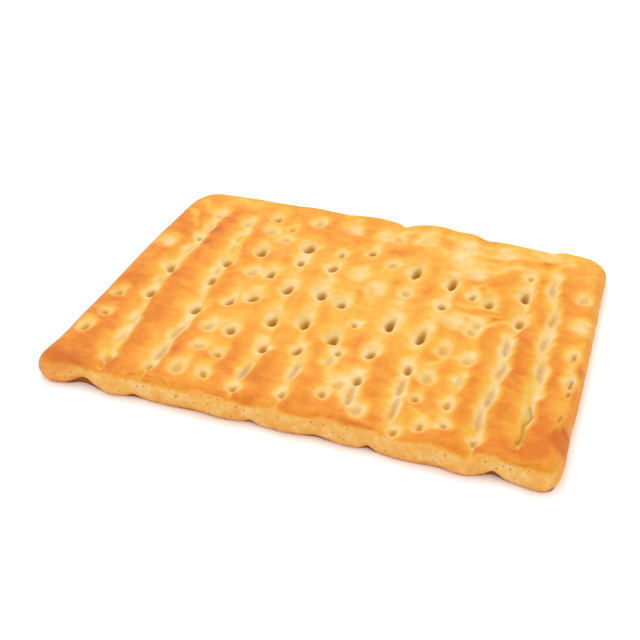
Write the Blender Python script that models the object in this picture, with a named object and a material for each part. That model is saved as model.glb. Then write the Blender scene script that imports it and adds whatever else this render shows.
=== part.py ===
"""A whole tray-baked sheet of focaccia, dimpled by fingertips.

The sheet rests on z = 0 with its long side along X and its front edge towards -Y.
Sizes and places are in millimetres and are turned to metres once, at the end.
"""

import bmesh
import bpy
import numpy as np

MM = 0.001

# The whole sheet
LENGTH = 402.0
WIDTH = 306.0
THICKNESS = 19.0

# The rim, where the crust rolls over into a pale side that bulges and tucks in at the base
SHOULDER_RUN = 8.0
SHOULDER_DROP = 4.5
SIDE_BULGE = 2.2
BASE_TUCK = 0.8
CORNER_PULL = 6.0
EDGE_POWER = 14

# Cells of the block that the sheet is shaped from, and the share of its triangles that is kept
CELLS = (136, 102, 6)
KEPT_SHARE = 0.158

# What a fingertip leaves: (half width, half length, depth) of the hole at the middle of its bowl
POKE_SIZES = {
    "long": (5.0, 11.0, 11.0),
    "deep": (5.0, 8.5, 10.0),
    "middle": (4.5, 7.0, 7.5),
    "small": (3.2, 4.6, 5.0),
    "broad": (7.5, 9.5, 3.6),
    "floor": (4.2, 8.5, 4.2),
}
HOLE_SHARE = 0.6
BOWL_SPREAD = 1.9
BLEND_POWER = 2.5

# The rows of pokes, from the left edge to the right. Each row has a furrow, given as its depth, its
# half width and the y where it starts and ends, and its pokes, from the back edge to the front.
ROWS = (
    ((0.0, 8, -124, 116), ((-186, 120, "broad"), (-182, 82, "broad"), (-189, 40, "small"),
                           (-189, -49, "small"), (-186, -82, "broad"), (-190, -107, "small"))),
    ((3.2, 8, -146, 119), ((-168, 111, "middle"), (-165, 85, "floor"), (-166, 66, "middle"),
                           (-167, 44, "floor"), (-170, 9, "middle"), (-167, -12, "floor"),
                           (-166, -35, "middle"), (-160, -78, "floor"), (-158, -103, "floor"),
                           (-156, -132, "small"))),
    ((3.2, 8, -145, 96), ((-132, 102, "middle"), (-129, 75, "floor"), (-128, 52, "floor"),
                           (-126, 34, "deep"), (-127, 11, "small"), (-127, 4, "deep"),
                           (-120, -44, "deep"), (-119, -80, "floor"), (-120, -115, "middle"),
                           (-118, -132, "small"))),
    ((0.8, 9, -140, 113), ((-107, 122, "middle"), (-104, 90, "middle"), (-100, 58, "deep"),
                           (-95, 22, "middle"), (-97, -24, "middle"), (-96, -70, "broad"),
                           (-92, -98, "broad"), (-97, -131, "middle"))),
    ((0.8, 9, -133, 101), ((-91, 110, "middle"), (-87, 81, "broad"), (-79, 26, "deep"),
                           (-80, -16, "deep"), (-78, -67, "middle"), (-74, -102, "small"),
                           (-75, -128, "small"))),
    ((1.8, 8, -151, 76), ((-67, 121, "broad"), (-63, 82, "long"), (-60, 52, "middle"),
                          (-56, 6, "deep"), (-53, -38, "long"), (-46, -78, "deep"),
                          (-48, -113, "floor"), (-47, -138, "small"))),
    ((1.8, 8, -151, 46), ((-32, 121, "broad"), (-31, 76, "small"), (-31, 53, "middle"),
                          (-25, 8, "long"), (-27, -34, "deep"), (-19, -74, "deep"),
                          (-12, -103, "floor"), (-11, -133, "small"))),
    ((0.8, 9, -94, 86), ((-4, 113, "broad"), (-8, 92, "deep"), (-6, 43, "broad"),
                         (-6, -2, "deep"), (3, -50, "deep"), (12, -68, "small"),
                         (9, -78, "middle"))),
    ((0.5, 9, -115, 66), ((12, 118, "broad"), (18, 70, "middle"), (15, 20, "broad"),
                          (13, -25, "middle"), (25, -106, "middle"))),
    ((1.6, 9, -139, 71), ((39, 114, "broad"), (40, 70, "deep"), (41, 29, "middle"),
                          (39, -12, "long"), (38, -57, "middle"), (36, -94, "deep"),
                          (36, -116, "floor"), (46, -130, "middle"))),
    ((2.0, 9, -152, 56), ((78, 117, "broad"), (75, 95, "broad"), (75, 58, "deep"),
                          (75, 22, "middle"), (71, -20, "long"), (70, -69, "middle"),
                          (70, -99, "floor"), (72, -124, "floor"), (80, -145, "small"))),
    ((0.5, 9, -114, 56), ((91, 81, "small"), (94, 47, "middle"), (87, -6, "broad"),
                          (91, -44, "broad"), (86, -79, "middle"), (86, -105, "small"),
                          (95, -136, "small"))),
    ((1.6, 9, -134, 16), ((112, 121, "broad"), (112, 44, "middle"), (112, 9, "small"),
                          (107, -2, "middle"), (112, -46, "middle"), (109, -74, "middle"),
                          (108, -100, "middle"), (110, -128, "small"))),
    ((3.4, 8, -151, 104), ((138, 94, "middle"), (138, 64, "long"), (140, 24, "deep"),
                           (136, -17, "floor"), (139, -46, "floor"), (136, -83, "floor"),
                           (134, -109, "floor"), (135, -131, "middle"))),
    ((3.2, 8, -137, 106), ((159, 82, "floor"), (166, 34, "floor"), (165, -4, "floor"),
                           (168, -43, "broad"), (167, -70, "small"), (166, -96, "floor"),
                           (167, -123, "small"))),
    ((1.4, 6, -109, 36), ((188, 66, "broad"), (191, 25, "small"), (189, -14, "small"),
                          (190, -55, "small"), (187, -96, "small"))),
)

# Creases that cross between the rows: depth, half width and the points that each runs through
CREASES = (
    (2.8, 7, ((84, 72), (100, 86), (124, 101), (141, 106), (160, 94))),
    (2.2, 7, ((72, 114), (94, 126), (116, 114), (139, 107))),
    (1.8, 5, ((15, 137), (50, 141), (95, 137))),
    (2.0, 6, ((12, -96), (28, -115), (38, -124), (49, -139))),
    (2.0, 6, ((92, -142), (104, -138), (112, -131))),
)

# Where the base is lifted off the tray along the front edge: (x, half width, lift)
FRONT_ARCHES = ((-167, 10, 6.0), (-124, 5, 2.2), (-27, 5, 2.6), (24, 10, 2.4), (64, 5, 3.0),
                (148, 8, 3.6))
ARCH_REACH = 20.0

# Swells of the edges in plan, and of the crust's height along the back and the left edge:
# (x or y, half width, swell)
BACK_SWELLS = ((-140, 24, 2.0), (-15, 20, 1.5), (13, 6, -3.0), (46, 32, 4.0), (132, 27, -2.5),
               (152, 9, -2.0), (180, 14, -1.5))
BACK_HEIGHTS = ((-140, 24, 2.2), (-75, 45, 2.2), (-15, 20, 1.8), (13, 7, -1.5), (46, 32, 3.4),
                (110, 20, 0.8), (180, 14, -2.6))
FRONT_SWELLS = ((-190, 14, 4.5), (-167, 8, -2.0), (-140, 14, 3.5), (-90, 30, 2.0), (-27, 5, -1.0),
                (0, 24, 2.0), (24, 9, -1.0), (45, 12, 1.0), (64, 4, -1.5), (95, 26, 3.0),
                (148, 8, -2.0), (178, 16, 2.5))
LEFT_SWELLS = ((-145, 22, 4.0), (-90, 60, 2.5), (30, 70, 2.5))
LEFT_HEIGHTS = ((-110, 50, 0.8), (-20, 60, 0.8), (60, 50, 1.0))

# Slow waves that puff the crust up and down: how many, their height and their longest wavelength
WAVE_COUNT = 14
WAVE_HEIGHT = 0.45
WAVE_LENGTH = 150.0
WAVE_SEED = 7


def hump(values, swells):
    """The sum of bell curves over values, each given as (centre, half width, height)."""
    return sum(height * np.exp(-(((values - at) / spread) ** 2)) for at, spread, height in swells)


def window(values, low, high, fade):
    """1 between low and high, falling smoothly to 0 over the distance fade on either side."""
    inside = np.minimum(values - low, high - values) / fade
    ramp = np.clip(inside + 1.0, 0.0, 1.0)
    return ramp * ramp * (3.0 - 2.0 * ramp)


def plan(u, v):
    """Where the point (u, v) of a square from -1 to 1 lies in the sheet's plan: a rounded rectangle."""
    at_end = np.abs(u) ** EDGE_POWER
    at_side = np.abs(v) ** EDGE_POWER
    pull = CORNER_PULL * at_end * at_side
    x = u * LENGTH / 2 - np.sign(u) * pull
    swell = np.where(v > 0, hump(x, BACK_SWELLS), hump(x, FRONT_SWELLS))
    y = v * WIDTH / 2 + np.sign(v) * (swell * at_side - pull)
    return x - hump(y, LEFT_SWELLS) * at_end * (u < 0), y


def rim_distance(u, v):
    """How far (u, v) lies inside the rim, with the corners rounded."""
    gap_x = (1.0 - np.abs(u)) * LENGTH / 2
    gap_y = (1.0 - np.abs(v)) * WIDTH / 2
    near_x = np.clip(SHOULDER_RUN - gap_x, 0.0, None)
    near_y = np.clip(SHOULDER_RUN - gap_y, 0.0, None)
    return np.clip(SHOULDER_RUN - np.hypot(near_x, near_y), 0.0, None)


def poke_depth(x, y, at_x, at_y, kind):
    """How deep one poke is at (x, y): a steep hole in the middle of a wide, soft bowl."""
    half_width, half_length, depth = POKE_SIZES[kind]
    reach = ((x - at_x) / half_width) ** 2 + ((y - at_y) / half_length) ** 2
    hole = np.exp(-(reach**2))
    bowl = np.exp(-reach / BOWL_SPREAD**2)
    return depth * (HOLE_SHARE * hole + (1.0 - HOLE_SHARE) * bowl)


def furrow_depth(x, y, furrow, pokes):
    """How deep a row's furrow is at (x, y). It winds from poke to poke."""
    depth, half_width, front, back = furrow
    line = sorted((at_y, at_x) for at_x, at_y, _ in pokes)
    middle = np.interp(y, [at_y for at_y, _ in line], [at_x for _, at_x in line])
    return depth * np.exp(-(((x - middle) / half_width) ** 2)) * window(y, front, back, 8.0)


def crease_depth(x, y, depth, half_width, points):
    """How deep a crease is at (x, y), by the distance to the line through its points."""
    nearest = np.full(x.shape, np.inf)
    for (x0, y0), (x1, y1) in zip(points, points[1:]):
        run_x, run_y = x1 - x0, y1 - y0
        share = ((x - x0) * run_x + (y - y0) * run_y) / (run_x**2 + run_y**2)
        share = np.clip(share, 0.0, 1.0)
        nearest = np.minimum(nearest, np.hypot(x - x0 - share * run_x, y - y0 - share * run_y))
    return depth * np.exp(-((nearest / half_width) ** 2))


def relief(x, y):
    """How far the pokes, furrows and creases press the crust in at (x, y), blended where they meet."""
    total = np.zeros(x.shape)
    for furrow, pokes in ROWS:
        total += furrow_depth(x, y, furrow, pokes) ** BLEND_POWER
        for poke in pokes:
            total += poke_depth(x, y, *poke) ** BLEND_POWER
    for crease in CREASES:
        total += crease_depth(x, y, *crease) ** BLEND_POWER
    return total ** (1.0 / BLEND_POWER)


def waves(x, y):
    """The slow rise and fall of the crust, a sum of plane waves with seeded directions."""
    draw = np.random.default_rng(WAVE_SEED)
    height = np.zeros(x.shape)
    for _ in range(WAVE_COUNT):
        turn, phase = draw.uniform(0.0, 2.0 * np.pi, 2)
        pace = 2.0 * np.pi / (WAVE_LENGTH * draw.uniform(0.25, 1.0))
        height += np.sin(pace * (x * np.cos(turn) + y * np.sin(turn)) + phase)
    return WAVE_HEIGHT * height


def crust_height(u, v, x, y):
    """The height of the crust over (x, y)."""
    inward = rim_distance(u, v) / SHOULDER_RUN
    shoulder = SHOULDER_DROP * (1.0 - inward) ** 2
    rise = hump(x, BACK_HEIGHTS) * np.clip(v, 0.0, 1.0) ** 8
    rise += hump(y, LEFT_HEIGHTS) * np.clip(-u, 0.0, 1.0) ** 8
    fade = 0.25 + 0.75 * inward
    return THICKNESS - shoulder + rise + fade * (waves(x, y) - relief(x, y))


def base_height(x, y):
    """The height of the underside: flat on the tray, and arched up here and there at the front."""
    from_front = (y + WIDTH / 2) / ARCH_REACH
    return hump(x, FRONT_ARCHES) * np.exp(-(np.clip(from_front, 0.0, None) ** 2))


def sheet_points(cube):
    """Carries the points of a cube from -1 to 1 to the sheet: its top to the crust, its base to the tray."""
    u, v, w = cube.T
    x, y = plan(u, v)
    down = (1.0 - w) / 2.0
    crust = crust_height(u, v, x, y)
    base = base_height(x, y)
    z = base + (crust - base) * (1.0 - down)
    to_x, to_y = np.sign(u) * np.abs(u) ** EDGE_POWER, np.sign(v) * np.abs(v) ** EDGE_POWER
    at_rim = np.maximum(np.abs(to_x), np.abs(to_y))
    outward = (SIDE_BULGE * np.sin(np.pi * down**0.8) - BASE_TUCK * down**3) * at_rim
    spread = np.maximum(np.hypot(to_x, to_y), 1e-9)
    points = np.stack([x + outward * to_x / spread, y + outward * to_y / spread, z], axis=1)
    middle = (points.max(axis=0) + points.min(axis=0)) / 2.0
    return points - (middle[0], middle[1], 0.0)


def cut_block(cells):
    """A cube from -1 to 1 whose faces are cut into the given number of cells along X, Y and Z."""
    block = bmesh.new()
    bmesh.ops.create_cube(block, size=2.0)
    for axis, count in enumerate(cells):
        along = [e for e in block.edges if abs(e.verts[0].co[axis] - e.verts[1].co[axis]) > 1.0]
        bmesh.ops.subdivide_edges(block, edges=along, cuts=count - 1, use_grid_fill=True)
    return block


def crust_material():
    """Oven-browned bread crust, matt with a little oil."""
    material = bpy.data.materials.new("baked_crust")
    material.use_nodes = True
    shader = material.node_tree.nodes["Principled BSDF"]
    shader.inputs["Base Color"].default_value = (0.86, 0.42, 0.12, 1.0)
    shader.inputs["Roughness"].default_value = 0.55
    shader.inputs["Metallic"].default_value = 0.0
    return material


def build_focaccia():
    """Shapes the block into the sheet and thins its triangles where it is flat."""
    block = cut_block(CELLS)
    mesh = bpy.data.meshes.new("focaccia")
    block.to_mesh(mesh)
    block.free()
    cube = np.empty(len(mesh.vertices) * 3)
    mesh.vertices.foreach_get("co", cube)
    points = sheet_points(cube.reshape(-1, 3)) * MM
    mesh.vertices.foreach_set("co", points.ravel())
    mesh.update()
    mesh.materials.append(crust_material())
    mesh.shade_smooth()

    collection = bpy.data.collections.new("focaccia")
    bpy.context.scene.collection.children.link(collection)
    sheet = bpy.data.objects.new("focaccia", mesh)
    collection.objects.link(sheet)
    thin = sheet.modifiers.new("thin_flat_parts", "DECIMATE")
    thin.decimate_type = "COLLAPSE"
    thin.ratio = KEPT_SHARE
    return sheet


for left_over in list(bpy.data.objects):
    bpy.data.objects.remove(left_over)
build_focaccia()
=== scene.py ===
"""The looks of a whole sheet of finger-poked focaccia, on a white studio floor.

The sheet is one closed surface. Its crust, its side and its underside are worked out as functions of
two parameters over a rounded rectangle, in millimetres, and turned to metres when the mesh is made.
The same functions tell each point how brown, oily or open its dough is, and the finish reads that.
"""

import logging
from collections.abc import Callable, Sequence
from dataclasses import dataclass, field
from enum import Enum
from typing import Any

import bpy
import numpy as np
from mathutils import Matrix


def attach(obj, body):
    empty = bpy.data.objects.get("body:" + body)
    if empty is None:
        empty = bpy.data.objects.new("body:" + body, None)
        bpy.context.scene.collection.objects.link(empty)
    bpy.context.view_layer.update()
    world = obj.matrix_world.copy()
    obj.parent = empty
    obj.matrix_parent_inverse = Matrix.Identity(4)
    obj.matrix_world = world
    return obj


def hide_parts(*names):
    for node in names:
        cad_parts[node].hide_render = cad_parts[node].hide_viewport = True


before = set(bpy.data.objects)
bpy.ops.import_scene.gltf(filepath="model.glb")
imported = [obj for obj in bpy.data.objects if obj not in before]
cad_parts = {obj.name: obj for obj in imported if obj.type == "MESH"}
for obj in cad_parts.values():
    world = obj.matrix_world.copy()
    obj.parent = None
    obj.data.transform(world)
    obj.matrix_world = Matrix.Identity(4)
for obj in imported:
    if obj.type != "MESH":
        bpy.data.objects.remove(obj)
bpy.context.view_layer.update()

log = logging.getLogger("focaccia")

MM = 0.001
CAD_NODE = "focaccia"


@dataclass(frozen=True)
class PokeShape:
    """What one press of a finger leaves.

    Args:
        half_width: half the width of the hole, in millimetres.
        half_length: half the length of the hole along its row, in millimetres.
        depth: how deep the hole is in the middle, in millimetres.
        halo: how far the pale ring reaches past the hole, in millimetres.
        pit: how moist the inside of the hole is and how much painted shade darkens it, from 0 to 1.
        ring: how strong the lip round the bowl is, from 0 to 1, which is raised and painted with a highlight;
            it also sets how strongly the inside of the bowl is coloured.
        stretched: how much of the floor is thin, grey, stretched dough, from 0 to 1.
    """

    half_width: float
    half_length: float
    depth: float
    halo: float
    pit: float
    ring: float
    stretched: float


class Poke(Enum):
    """The kinds of holes that the baker's fingers leave."""

    LONG = PokeShape(2.7, 8.4, 12.0, 7.6, 1.0, 1.0, 0.0)
    DEEP = PokeShape(2.8, 6.0, 11.0, 7.6, 1.0, 1.0, 0.0)
    MIDDLE = PokeShape(2.5, 5.3, 8.0, 7.0, 0.85, 0.9, 0.1)
    SMALL = PokeShape(2.0, 3.5, 5.0, 5.4, 0.65, 0.7, 0.15)
    SOFT = PokeShape(3.2, 4.8, 4.2, 6.0, 0.25, 0.6, 0.15)
    BROAD = PokeShape(5.0, 7.0, 2.8, 5.0, 0.05, 0.3, 0.1)
    SEAM = PokeShape(2.0, 9.0, 3.2, 4.5, 0.25, 0.2, 0.3)
    FLOOR = PokeShape(1.9, 12.5, 5.0, 4.5, 0.3, 0.35, 0.9)


LONG, DEEP, MIDDLE, SMALL, SOFT, BROAD, SEAM, FLOOR = Poke

PlacedPoke = tuple[float, float, Poke]
Point = tuple[float, float]


@dataclass(frozen=True)
class Swell:
    """A bell curve along an edge: its centre, its half width and its height, in millimetres."""

    at: float
    spread: float
    height: float


@dataclass(frozen=True)
class Row:
    """A row of pokes and the furrow that joins them.

    Args:
        furrow: the furrow's depth and half width, in millimetres.
        reach: the y where the furrow starts at the front and ends at the back.
        pokes: the pokes from the back edge to the front, each as x, y and kind.
    """

    furrow: Point
    reach: Point
    pokes: tuple[PlacedPoke, ...]


@dataclass(frozen=True)
class Crease:
    """A dent that runs across the rows: its depth, its half width and the points it runs through."""

    depth: float
    half_width: float
    points: tuple[Point, ...]


ROWS = (
    Row((0.0, 8), (-124, 116), ((-188, 43, BROAD), (-188, -50, SMALL), (-185, -82, SMALL),
                                (-189, -107, SMALL))),
    Row((3.0, 8), (-148, 122), ((-163, 111, SOFT), (-163, 85, SEAM), (-165, 63, SMALL), (-164, 43, SEAM),
                                (-167, 8, MIDDLE), (-165, -15, SEAM), (-163, -39, MIDDLE), (-158, -81, SEAM),
                                (-155, -109, SEAM), (-153, -136, SMALL))),
    Row((3.2, 8), (-149, 96), ((-130, 102, SOFT), (-127, 75, SEAM), (-125, 54, SEAM), (-123, 30, DEEP),
                               (-125, 12, SEAM), (-124, -2, MIDDLE), (-117, -49, DEEP), (-117, -85, FLOOR),
                               (-116, -116, FLOOR), (-116, -137, SMALL))),
    Row((0.7, 9), (-140, 113), ((-108, 120, MIDDLE), (-103, 93, SOFT), (-99, 57, DEEP), (-95, 22, SOFT),
                                (-95, -28, MIDDLE), (-95, -71, SOFT), (-90, -102, SOFT), (-94, -134, SOFT))),
    Row((0.7, 9), (-133, 101), ((-88, 107, SMALL), (-86, 83, SOFT), (-78, 22, MIDDLE), (-77, -21, DEEP),
                                (-76, -71, MIDDLE), (-73, -105, SMALL), (-73, -133, SMALL))),
    Row((1.8, 8), (-151, 76), ((-65, 122, SOFT), (-61, 79, LONG), (-58, 51, MIDDLE), (-53, 2, DEEP),
                               (-50, -44, DEEP), (-44, -83, MIDDLE), (-46, -116, FLOOR), (-45, -144, SMALL))),
    Row((1.8, 8), (-151, 46), ((-32, 123, BROAD), (-29, 77, SMALL), (-29, 51, MIDDLE), (-23, 4, LONG),
                               (-24, -39, DEEP), (-16, -78, MIDDLE), (-9, -106, FLOOR), (-8, -137, SMALL))),
    Row((0.7, 9), (-94, 86), ((0, 120, BROAD), (-3, 90, DEEP), (-4, 46, BROAD), (-3, -5, DEEP),
                              (5, -53, DEEP), (14, -70, SMALL), (12, -85, SEAM))),
    Row((0.5, 9), (-115, 66), ((14, 120, SOFT), (21, 72, SOFT), (17, 28, BROAD), (17, -30, SMALL),
                               (28, -111, SOFT), (21, -127, SMALL))),
    Row((1.6, 9), (-139, 71), ((41, 120, BROAD), (43, 68, LONG), (44, 33, SOFT), (43, -17, LONG),
                               (40, -64, MIDDLE), (40, -100, MIDDLE), (40, -121, FLOOR), (50, -135, SOFT))),
    Row((2.0, 9), (-152, 56), ((78, 123, BROAD), (78, 98, BROAD), (79, 59, LONG), (78, 22, MIDDLE),
                               (72, -29, LONG), (73, -74, MIDDLE), (73, -99, FLOOR), (75, -125, FLOOR),
                               (82, -149, SMALL))),
    Row((0.5, 9), (-114, 56), ((94, 80, BROAD), (99, 47, SMALL), (92, -1, BROAD), (94, -41, SOFT),
                               (90, -80, SOFT), (87, -108, SMALL), (97, -139, SMALL))),
    Row((1.6, 9), (-134, 16), ((114, 123, BROAD), (115, 41, MIDDLE), (111, 5, SOFT), (109, -6, SOFT),
                               (115, -47, SOFT), (112, -78, SEAM), (111, -107, SMALL),
                               (113, -133, SMALL))),
    Row((3.2, 8), (-152, 104), ((141, 93, SMALL), (141, 64, LONG), (144, 22, MIDDLE), (139, -19, FLOOR),
                                (141, -51, FLOOR), (139, -87, FLOOR), (137, -115, FLOOR),
                                (139, -139, SMALL))),
    Row((2.8, 8), (-137, 106), ((163, 79, FLOOR), (169, 33, FLOOR), (168, -4, FLOOR), (171, -44, FLOOR),
                                (170, -77, SEAM), (169, -101, SEAM))),
    Row((1.0, 6), (-109, 36), ((191, 69, SOFT), (194, 27, BROAD), (192, -17, SEAM), (193, -51, SEAM))),
)

CREASES = (
    Crease(2.4, 6.0, ((85, 100), (106, 95), (123, 108), (142, 113), (162, 107))),
    Crease(1.6, 7.0, ((74, 112), (94, 128), (116, 124), (136, 131), (154, 135))),
    Crease(1.8, 5.0, ((17, 137), (52, 141), (97, 137))),
    Crease(1.6, 5.0, ((14, -96), (30, -115), (40, -124), (51, -139))),
    Crease(1.6, 5.0, ((94, -140), (106, -136), (114, -128))),
)


def bells(values: np.ndarray, swells: Sequence[Swell]) -> np.ndarray:
    """Adds up bell curves: each is its height times e to the minus squared distance in half widths.

    Args:
        values: the places along the edge, in millimetres.
        swells: the bell curves.

    Returns:
        Their sum at each place.
    """
    return sum(s.height * np.exp(-(((values - s.at) / s.spread) ** 2)) for s in swells)


def ease(values: np.ndarray) -> np.ndarray:
    """A smooth step from 0 to 1 as values go from 0 to 1: three of the square minus two of the cube."""
    held = np.clip(values, 0.0, 1.0)
    return held * held * (3.0 - 2.0 * held)


def on_plane(x: np.ndarray, y: np.ndarray) -> np.ndarray:
    """Rows of x, y and 0, for noise that is the same all the way down."""
    return np.stack([x, y, np.zeros(x.shape)], axis=-1).reshape(-1, 3)


@dataclass(frozen=True)
class Fade:
    """A smooth step: where it starts, and the run after which it is done, below 0 to go the other way."""

    start: float
    run: float

    def over(self, values: np.ndarray) -> np.ndarray:
        """0 before the start, 1 past the run, and eased between them."""
        return ease((values - self.start) / self.run)


@dataclass(frozen=True)
class DoughNoise:
    """Smooth seeded noise in space, for what yeast and heat leave to chance.

    Args:
        seed: picks the pattern.
        size: the side of the widest lattice cell, in millimetres.
        count: how many copies are added, each half as wide and half as strong as the one before.
        strength: what the sum is multiplied by.
        cells: how many random values the repeating lattice has along each side.
        shift: how far each copy is moved from the one before, in millimetres.
    """

    seed: int
    size: float
    count: int = 3
    strength: float = 1.0
    cells: int = 32
    shift: float = 17.3

    def copy_of(self, points: np.ndarray, size: float) -> np.ndarray:
        """Reads the lattice between its random values, eased along each axis.

        Args:
            points: rows of x, y and z in millimetres.
            size: the side of one lattice cell, in millimetres.

        Returns:
            A value from -1 to 1 for each point.
        """
        lattice = np.random.default_rng(self.seed).uniform(-1.0, 1.0, (self.cells,) * 3)
        spot = points / size
        low = np.floor(spot).astype(int)
        share = ease(spot - low)
        total = np.zeros(len(points))
        for corner in np.ndindex(2, 2, 2):
            step = np.array(corner)
            weight = np.prod(np.where(step == 1, share, 1.0 - share), axis=1)
            x, y, z = ((low + step) % self.cells).T
            total += weight * lattice[x, y, z]
        return total

    def over(self, points: np.ndarray) -> np.ndarray:
        """Adds finer and weaker copies of the noise.

        Args:
            points: rows of x, y and z in millimetres.

        Returns:
            A value for each point, of about the strength at most, either way.
        """
        parts = [self.copy_of(points + self.shift * n, self.size / 2**n) / 2**n for n in range(self.count)]
        return self.strength * (sum(parts) / sum(0.5**n for n in range(self.count)))


@dataclass
class SheetOutline:
    """The sheet's plan and its flat sizes: a rounded rectangle whose edges swell and dip.

    The corners are given front left, front right, back left and back right. The powers say how close
    to the rim a swell or a puff keeps, and how close to the base the side tucks in and rounds off.
    """

    length: float = 402.0
    width: float = 308.0
    thickness: float = 19.0
    shoulder_run: float = 8.0
    shoulder_drop: float = 4.5
    corner_radii: tuple[float, float, float, float] = (13.0, 10.0, 27.0, 25.0)
    edge_power: int = 14
    puff_power: int = 8
    side_bulge: float = 2.4
    bulge_power: float = 0.8
    base_tuck: float = 0.3
    tuck_power: int = 3
    base_round: float = 0.6
    round_power: int = 8
    arch_reach: float = 0.9
    back: tuple[Swell, ...] = (
        Swell(-140, 24, 2.0), Swell(-44, 5, -1.2), Swell(-15, 20, 3.0), Swell(13, 5, -4.0),
        Swell(46, 32, 4.0), Swell(76, 8, 1.5), Swell(92, 5, -1.5), Swell(132, 27, -3.5),
        Swell(152, 8, -3.5), Swell(176, 12, 0.5), Swell(196, 8, -1.0),
    )
    back_heights: tuple[Swell, ...] = (
        Swell(-140, 24, 2.2), Swell(-75, 45, 2.2), Swell(-15, 20, 2.8), Swell(13, 6, -2.0),
        Swell(46, 30, 3.2), Swell(76, 9, 1.6), Swell(92, 6, -0.8), Swell(110, 20, 0.6),
        Swell(150, 8, -1.4), Swell(180, 14, -2.2),
    )
    front: tuple[Swell, ...] = (
        Swell(-190, 14, 4.5), Swell(-167, 8, -2.0), Swell(-140, 14, 3.5), Swell(-90, 30, 2.0),
        Swell(-48, 12, 2.4), Swell(-27, 5, -1.0), Swell(0, 24, 2.0), Swell(24, 9, -1.0),
        Swell(45, 12, 1.0), Swell(64, 4, -1.5), Swell(95, 26, 3.4), Swell(133, 12, 4.0),
        Swell(155, 6, -2.6), Swell(187, 14, 3.8),
    )
    left: tuple[Swell, ...] = (Swell(-145, 22, 4.0), Swell(-90, 60, 2.5), Swell(30, 70, 2.5))
    right: tuple[Swell, ...] = (Swell(-110, 50, -1.6), Swell(-156, 14, -1.2))
    left_heights: tuple[Swell, ...] = (Swell(-110, 50, 0.8), Swell(-20, 60, 0.8), Swell(60, 50, 1.0))
    arches: tuple[Swell, ...] = (
        Swell(-165, 11, 6.0), Swell(-122, 5, 3.0), Swell(-80, 12, 0.8), Swell(-26, 5, 2.2),
        Swell(26, 10, 1.8), Swell(65, 5, 3.0), Swell(155, 7, 4.4),
    )

    def plan(self, u: np.ndarray, v: np.ndarray) -> tuple[np.ndarray, np.ndarray]:
        """Where (u, v) of a square from -1 to 1 lies in plan.

        The square is stretched to the rectangle. Near each corner, a square as wide as the corner's
        radius is turned to a quarter of a disc. Near the rim, a high power of u or v lets in the
        edge's swells.

        Args:
            u: the place along the length, from -1 to 1.
            v: the place along the width, from -1 to 1.

        Returns:
            x and y in millimetres.
        """
        radius, into_x, into_y = self.corner(u, v)
        x = u * self.length / 2 - np.sign(u) * radius * into_x * (1.0 - np.sqrt(1.0 - into_y**2 / 2.0))
        y = v * self.width / 2 - np.sign(v) * radius * into_y * (1.0 - np.sqrt(1.0 - into_x**2 / 2.0))
        swell = np.where(v > 0, bells(x, self.back), bells(x, self.front))
        y = y + np.sign(v) * swell * np.abs(v) ** self.edge_power
        swell = np.where(u > 0, bells(y, self.right), bells(y, self.left))
        return x + np.sign(u) * swell * np.abs(u) ** self.edge_power, y

    def corner(self, u: np.ndarray, v: np.ndarray) -> tuple[np.ndarray, np.ndarray, np.ndarray]:
        """Finds the nearest corner, and the place in the square that it is rounded from.

        Args:
            u: the place along the length, from -1 to 1.
            v: the place along the width, from -1 to 1.

        Returns:
            The corner's radius in millimetres, and how far (u, v) is into its square along the length
            and along the width, from 0 to 1.
        """
        front_left, front_right, back_left, back_right = self.corner_radii
        front = np.where(u < 0, front_left, front_right)
        back = np.where(u < 0, back_left, back_right)
        radius = np.where(v < 0, front, back)
        into_x = np.clip(1.0 - (1.0 - np.abs(u)) * self.length / 2 / radius, 0.0, 1.0)
        into_y = np.clip(1.0 - (1.0 - np.abs(v)) * self.width / 2 / radius, 0.0, 1.0)
        return radius, into_x, into_y

    def inward(self, u: np.ndarray, v: np.ndarray) -> np.ndarray:
        """How far (u, v) lies in from the rim.

        Args:
            u: the place along the length, from -1 to 1.
            v: the place along the width, from -1 to 1.

        Returns:
            The distance as a share of the shoulder's run, up to 1.
        """
        radius, into_x, into_y = self.corner(u, v)
        out = np.sqrt(into_x**2 + into_y**2 - (into_x * into_y) ** 2)
        return np.clip(radius * (1.0 - out) / self.shoulder_run, 0.0, 1.0)

    def base(self, x: np.ndarray, y: np.ndarray) -> np.ndarray:
        """The underside's height: flat, with bell-shaped arches that fade inwards from the front edge."""
        from_front = np.clip(y + self.width / 2 + bells(x, self.front), 0.0, None)
        return bells(x, self.arches) * np.exp(-((from_front / self.arch_reach) ** 2))

    def puff(self, u: np.ndarray, v: np.ndarray, x: np.ndarray, y: np.ndarray) -> np.ndarray:
        """How much higher the crust stands along the back and the left edge.

        Args:
            u: the place along the length, from -1 to 1.
            v: the place along the width, from -1 to 1.
            x: the same place along the length, in millimetres.
            y: the same place along the width, in millimetres.

        Returns:
            The extra height in millimetres.
        """
        at_back = np.clip(v, 0.0, 1.0) ** self.puff_power
        at_left = np.clip(-u, 0.0, 1.0) ** self.puff_power
        return bells(x, self.back_heights) * at_back + bells(y, self.left_heights) * at_left


@dataclass(frozen=True)
class Patch:
    """A soft-edged spot on the crust: its middle, its half sizes and how strong it is."""

    x: float
    y: float
    half_width: float
    half_length: float
    strength: float = 1.0

    def cover(self, x: np.ndarray, y: np.ndarray, power: float = 1.0) -> np.ndarray:
        """The strength times e to the minus a power of the squared distance in half sizes."""
        reach = ((x - self.x) / self.half_width) ** 2 + ((y - self.y) / self.half_length) ** 2
        return self.strength * np.exp(-(reach**power))
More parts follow.
